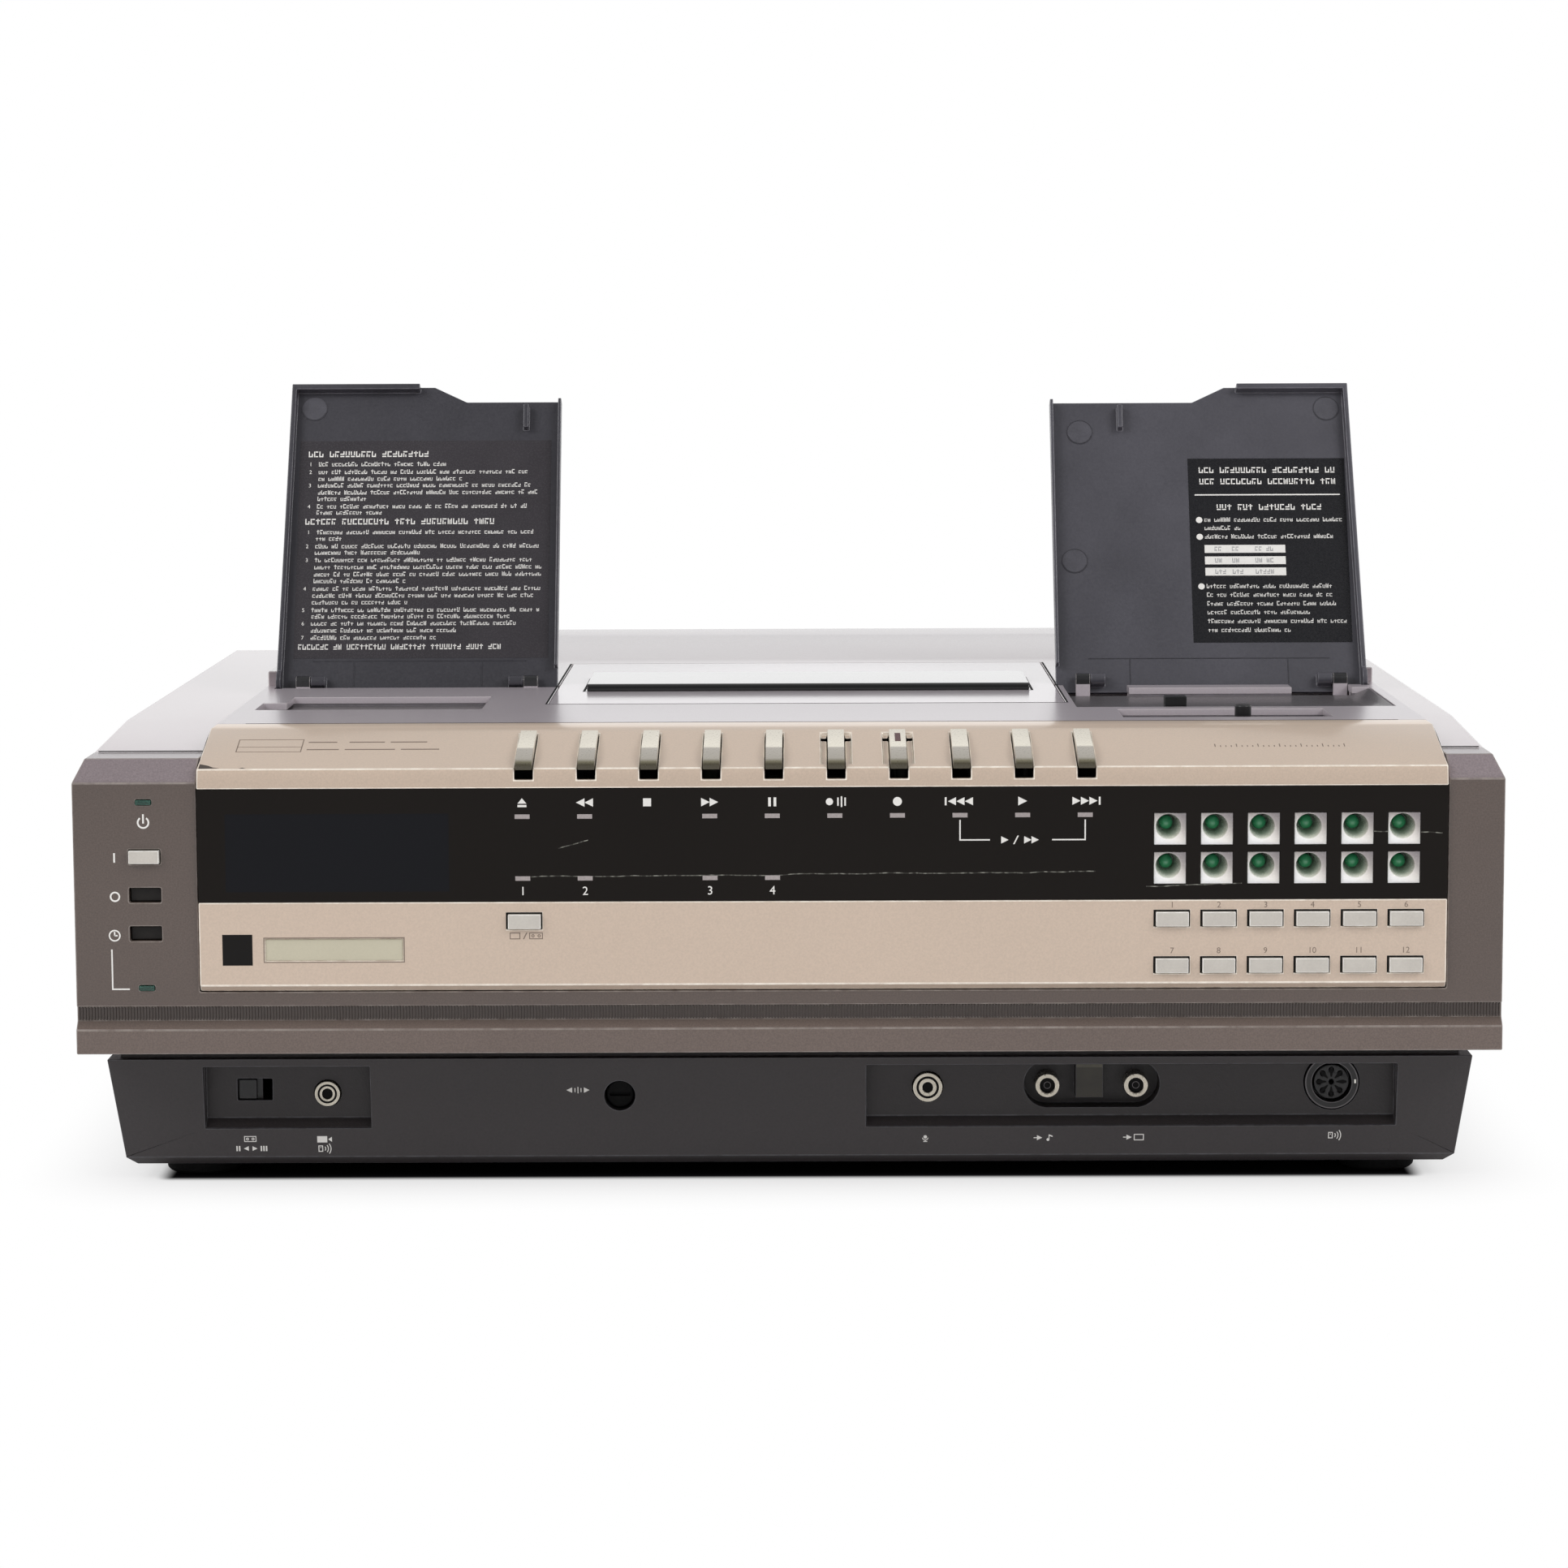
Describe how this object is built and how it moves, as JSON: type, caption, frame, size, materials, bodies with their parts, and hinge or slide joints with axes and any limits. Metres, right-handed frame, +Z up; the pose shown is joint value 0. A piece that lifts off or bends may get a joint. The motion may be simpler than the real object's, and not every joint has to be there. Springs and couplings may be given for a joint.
{
  "type": "video cassette recorder",
  "caption": "Top loading home video cassette recorder with piano keys, a cassette lift, a channel lamp window, a front jack strip and two hinged lids standing open.",
  "frame": {"origin": "on the surface it stands on, under the middle of the case", "axes": "+X to the right along the front, +Y from front to back, +Z up"},
  "size_m": [0.48, 0.3902, 0.2692],
  "materials": {
    "base_plastic": "fine moulded grain, charcoal",
    "foot_rubber": "matt",
    "bezel_plastic": "satin sprayed, brown grey",
    "champagne_panel": "fine brushed, champagne",
    "smoked_window": "gloss, smoked nearly black",
    "lamp_reflector": "off white cups with green domes",
    "button_plastic": "smooth, off white",
    "key_plastic": "smooth, light grey",
    "cover_metal": "fine sprayed metallic, pinkish grey",
    "well_plastic": "smooth, grey",
    "lid_plastic": "moulded, dark grey inside",
    "smoked_lens": "smoked",
    "bare_steel": "zinc plated",
    "machined_aluminium": "fine turned",
    "reel_plastic": "smooth, white",
    "board_laminate": "brown laminate",
    "jack_metal": "nickel plated",
    "black_plastic": "smooth, black"
  },
  "bodies": {
    "case": {"base_tray": "base_plastic", "feet": "foot_rubber", "front_bezel": "bezel_plastic", "trim_panel": "champagne_panel", "display_window": "smoked_window", "indicator_lamps": "lamp_reflector", "top_cover": "cover_metal", "deck_plate": "cover_metal", "rear_panel": "bare_steel", "timer_well": "well_plastic", "tuner_well": "well_plastic", "mechanism_chassis": "bare_steel", "circuit_board": "board_laminate", "transformer": "bare_steel", "jack_sockets": "jack_metal", "remote_socket": "black_plastic"},
    "key_eject": {"key_eject": "key_plastic"},
    "key_rewind": {"key_rewind": "key_plastic"},
    "key_stop": {"key_stop": "key_plastic"},
    "key_fast_forward": {"key_fast_forward": "key_plastic"},
    "key_pause": {"key_pause": "key_plastic"},
    "key_audio_dub": {"key_audio_dub": "key_plastic"},
    "key_record": {"key_record": "key_plastic"},
    "key_reverse_search": {"key_reverse_search": "key_plastic"},
    "key_play": {"key_play": "key_plastic"},
    "key_forward_search": {"key_forward_search": "key_plastic"},
    "channel_button_01": {"channel_button_01": "button_plastic"},
    "channel_button_02": {"channel_button_02": "button_plastic"},
    "channel_button_03": {"channel_button_03": "button_plastic"},
    "channel_button_04": {"channel_button_04": "button_plastic"},
    "channel_button_05": {"channel_button_05": "button_plastic"},
    "channel_button_06": {"channel_button_06": "button_plastic"},
    "channel_button_07": {"channel_button_07": "button_plastic"},
    "channel_button_08": {"channel_button_08": "button_plastic"},
    "channel_button_09": {"channel_button_09": "button_plastic"},
    "channel_button_10": {"channel_button_10": "button_plastic"},
    "channel_button_11": {"channel_button_11": "button_plastic"},
    "channel_button_12": {"channel_button_12": "button_plastic"},
    "source_button": {"source_button": "button_plastic"},
    "power_on_button": {"power_on_button": "button_plastic"},
    "power_off_button": {"power_off_button": "button_plastic"},
    "timer_button": {"timer_button": "button_plastic"},
    "set_button": {"set_button": "button_plastic"},
    "enter_button": {"enter_button": "button_plastic"},
    "program_button": {"program_button": "button_plastic"},
    "tape_speed_switch": {"tape_speed_switch": "black_plastic"},
    "mode_switch": {"mode_switch": "black_plastic"},
    "band_switch": {"band_switch": "button_plastic"},
    "tuning_knob": {"tuning_knob": "black_plastic"},
    "tracking_knob": {"tracking_knob": "black_plastic"},
    "timer_lid": {"timer_lid": "lid_plastic"},
    "tuner_lid": {"tuner_lid": "lid_plastic"},
    "cassette_lift": {"cassette_lid": "cover_metal", "cassette_window": "smoked_lens", "cassette_holder": "bare_steel"},
    "upper_drum": {"upper_drum": "machined_aluminium"},
    "loading_ring": {"loading_ring": "bare_steel"},
    "supply_reel": {"supply_reel": "reel_plastic"},
    "takeup_reel": {"takeup_reel": "reel_plastic"},
    "capstan_flywheel": {"capstan_flywheel": "bare_steel"}
  },
  "joints": [
    {"name": "key_eject_pivot", "type": "hinge", "parent": "case", "child": "key_eject", "pos_m": [-0.08845, -0.132, 0.1495], "axis": [1, 0, 0], "range_deg": [0, 2.8], "stiffness_Nm_per_rad": 0.4, "springref_deg": -6.88},
    {"name": "key_rewind_pivot", "type": "hinge", "parent": "case", "child": "key_rewind", "pos_m": [-0.06751, -0.132, 0.1495], "axis": [1, 0, 0], "range_deg": [0, 2.8], "stiffness_Nm_per_rad": 0.4, "springref_deg": -6.88},
    {"name": "key_stop_pivot", "type": "hinge", "parent": "case", "child": "key_stop", "pos_m": [-0.04657, -0.132, 0.1495], "axis": [1, 0, 0], "range_deg": [0, 2.8], "stiffness_Nm_per_rad": 0.4, "springref_deg": -6.88},
    {"name": "key_fast_forward_pivot", "type": "hinge", "parent": "case", "child": "key_fast_forward", "pos_m": [-0.02563, -0.132, 0.1495], "axis": [1, 0, 0], "range_deg": [0, 2.8], "stiffness_Nm_per_rad": 0.4, "springref_deg": -6.88},
    {"name": "key_pause_pivot", "type": "hinge", "parent": "case", "child": "key_pause", "pos_m": [-0.00469, -0.132, 0.1495], "axis": [1, 0, 0], "range_deg": [0, 2.8], "stiffness_Nm_per_rad": 0.4, "springref_deg": -6.88},
    {"name": "key_audio_dub_pivot", "type": "hinge", "parent": "case", "child": "key_audio_dub", "pos_m": [0.01625, -0.132, 0.1495], "axis": [1, 0, 0], "range_deg": [0, 2.8], "stiffness_Nm_per_rad": 0.4, "springref_deg": -6.88},
    {"name": "key_record_pivot", "type": "hinge", "parent": "case", "child": "key_record", "pos_m": [0.03719, -0.132, 0.1495], "axis": [1, 0, 0], "range_deg": [0, 2.8], "stiffness_Nm_per_rad": 0.4, "springref_deg": -6.88},
    {"name": "key_reverse_search_pivot", "type": "hinge", "parent": "case", "child": "key_reverse_search", "pos_m": [0.05813, -0.132, 0.1495], "axis": [1, 0, 0], "range_deg": [0, 2.8], "stiffness_Nm_per_rad": 0.4, "springref_deg": -6.88},
    {"name": "key_play_pivot", "type": "hinge", "parent": "case", "child": "key_play", "pos_m": [0.07907, -0.132, 0.1495], "axis": [1, 0, 0], "range_deg": [0, 2.8], "stiffness_Nm_per_rad": 0.4, "springref_deg": -6.88},
    {"name": "key_forward_search_pivot", "type": "hinge", "parent": "case", "child": "key_forward_search", "pos_m": [0.10001, -0.132, 0.1495], "axis": [1, 0, 0], "range_deg": [0, 2.8], "stiffness_Nm_per_rad": 0.4, "springref_deg": -6.88},
    {"name": "channel_button_01_push", "type": "slide", "parent": "case", "child": "channel_button_01", "axis": [0, 1, 0], "range_m": [0, 0.0015], "stiffness_N_per_m": 300, "springref_m": -0.002},
    {"name": "channel_button_02_push", "type": "slide", "parent": "case", "child": "channel_button_02", "axis": [0, 1, 0], "range_m": [0, 0.0015], "stiffness_N_per_m": 300, "springref_m": -0.002},
    {"name": "channel_button_03_push", "type": "slide", "parent": "case", "child": "channel_button_03", "axis": [0, 1, 0], "range_m": [0, 0.0015], "stiffness_N_per_m": 300, "springref_m": -0.002},
    {"name": "channel_button_04_push", "type": "slide", "parent": "case", "child": "channel_button_04", "axis": [0, 1, 0], "range_m": [0, 0.0015], "stiffness_N_per_m": 300, "springref_m": -0.002},
    {"name": "channel_button_05_push", "type": "slide", "parent": "case", "child": "channel_button_05", "axis": [0, 1, 0], "range_m": [0, 0.0015], "stiffness_N_per_m": 300, "springref_m": -0.002},
    {"name": "channel_button_06_push", "type": "slide", "parent": "case", "child": "channel_button_06", "axis": [0, 1, 0], "range_m": [0, 0.0015], "stiffness_N_per_m": 300, "springref_m": -0.002},
    {"name": "channel_button_07_push", "type": "slide", "parent": "case", "child": "channel_button_07", "axis": [0, 1, 0], "range_m": [0, 0.0015], "stiffness_N_per_m": 300, "springref_m": -0.002},
    {"name": "channel_button_08_push", "type": "slide", "parent": "case", "child": "channel_button_08", "axis": [0, 1, 0], "range_m": [0, 0.0015], "stiffness_N_per_m": 300, "springref_m": -0.002},
    {"name": "channel_button_09_push", "type": "slide", "parent": "case", "child": "channel_button_09", "axis": [0, 1, 0], "range_m": [0, 0.0015], "stiffness_N_per_m": 300, "springref_m": -0.002},
    {"name": "channel_button_10_push", "type": "slide", "parent": "case", "child": "channel_button_10", "axis": [0, 1, 0], "range_m": [0, 0.0015], "stiffness_N_per_m": 300, "springref_m": -0.002},
    {"name": "channel_button_11_push", "type": "slide", "parent": "case", "child": "channel_button_11", "axis": [0, 1, 0], "range_m": [0, 0.0015], "stiffness_N_per_m": 300, "springref_m": -0.002},
    {"name": "channel_button_12_push", "type": "slide", "parent": "case", "child": "channel_button_12", "axis": [0, 1, 0], "range_m": [0, 0.0015], "stiffness_N_per_m": 300, "springref_m": -0.002},
    {"name": "source_button_push", "type": "slide", "parent": "case", "child": "source_button", "axis": [0, 1, 0], "range_m": [0, 0.0015], "stiffness_N_per_m": 300, "springref_m": -0.002},
    {"name": "power_on_button_push", "type": "slide", "parent": "case", "child": "power_on_button", "axis": [0, 1, 0], "range_m": [0, 0.0025], "stiffness_N_per_m": 300, "springref_m": -0.002},
    {"name": "power_off_button_push", "type": "slide", "parent": "case", "child": "power_off_button", "axis": [0, 1, 0], "range_m": [0, 0.0025], "stiffness_N_per_m": 300, "springref_m": -0.002},
    {"name": "timer_button_push", "type": "slide", "parent": "case", "child": "timer_button", "axis": [0, 1, 0], "range_m": [0, 0.0025], "stiffness_N_per_m": 300, "springref_m": -0.002},
    {"name": "set_button_push", "type": "slide", "parent": "case", "child": "set_button", "axis": [0, 0, -1], "range_m": [0, 0.001], "stiffness_N_per_m": 300, "springref_m": -0.002},
    {"name": "enter_button_push", "type": "slide", "parent": "case", "child": "enter_button", "axis": [0, 0, -1], "range_m": [0, 0.001], "stiffness_N_per_m": 300, "springref_m": -0.002},
    {"name": "program_button_push", "type": "slide", "parent": "case", "child": "program_button", "axis": [0, 0, -1], "range_m": [0, 0.001], "stiffness_N_per_m": 300, "springref_m": -0.002},
    {"name": "tape_speed_slide", "type": "slide", "parent": "case", "child": "tape_speed_switch", "axis": [1, 0, 0], "range_m": [0, 0.005]},
    {"name": "mode_slide", "type": "slide", "parent": "case", "child": "mode_switch", "axis": [1, 0, 0], "range_m": [0, 0.008]},
    {"name": "band_slide", "type": "slide", "parent": "case", "child": "band_switch", "axis": [1, 0, 0], "range_m": [0, 0.008]},
    {"name": "tuning_turn", "type": "hinge", "parent": "case", "child": "tuning_knob", "pos_m": [0.1596, -0.119, 0.1593], "axis": [0, 0, 1], "continuous": true},
    {"name": "tracking_turn", "type": "hinge", "parent": "case", "child": "tracking_knob", "pos_m": [-0.0583, -0.1654, 0.0299], "axis": [0, 1, 0], "range_deg": [-140, 140]},
    {"name": "timer_lid_hinge", "type": "hinge", "parent": "case", "child": "timer_lid", "pos_m": [-0.1408, -0.008, 0.158], "axis": [1, 0, 0], "range_deg": [0, 113.5]},
    {"name": "tuner_lid_hinge", "type": "hinge", "parent": "case", "child": "tuner_lid", "pos_m": [0.1591, -0.008, 0.158], "axis": [1, 0, 0], "range_deg": [0, 115]},
    {"name": "cassette_lift", "type": "slide", "parent": "case", "child": "cassette_lift", "axis": [0, 0, 1], "range_m": [0, 0.045]},
    {"name": "drum_spin", "type": "hinge", "parent": "case", "child": "upper_drum", "pos_m": [0.0064, 0.076, 0.135], "axis": [0, 0, 1], "continuous": true},
    {"name": "loading_ring_turn", "type": "hinge", "parent": "case", "child": "loading_ring", "pos_m": [0.0064, 0.076, 0.1153], "axis": [0, 0, -1], "range_deg": [0, 170]},
    {"name": "supply_reel_spin", "type": "hinge", "parent": "case", "child": "supply_reel", "pos_m": [-0.0301, -0.029, 0.115], "axis": [0, 0, 1], "continuous": true},
    {"name": "takeup_reel_spin", "type": "hinge", "parent": "case", "child": "takeup_reel", "pos_m": [0.0429, -0.029, 0.115], "axis": [0, 0, 1], "continuous": true},
    {"name": "capstan_spin", "type": "hinge", "parent": "case", "child": "capstan_flywheel", "pos_m": [0.0686, 0.042, 0.115], "axis": [0, 0, 1], "continuous": true}
  ]
}
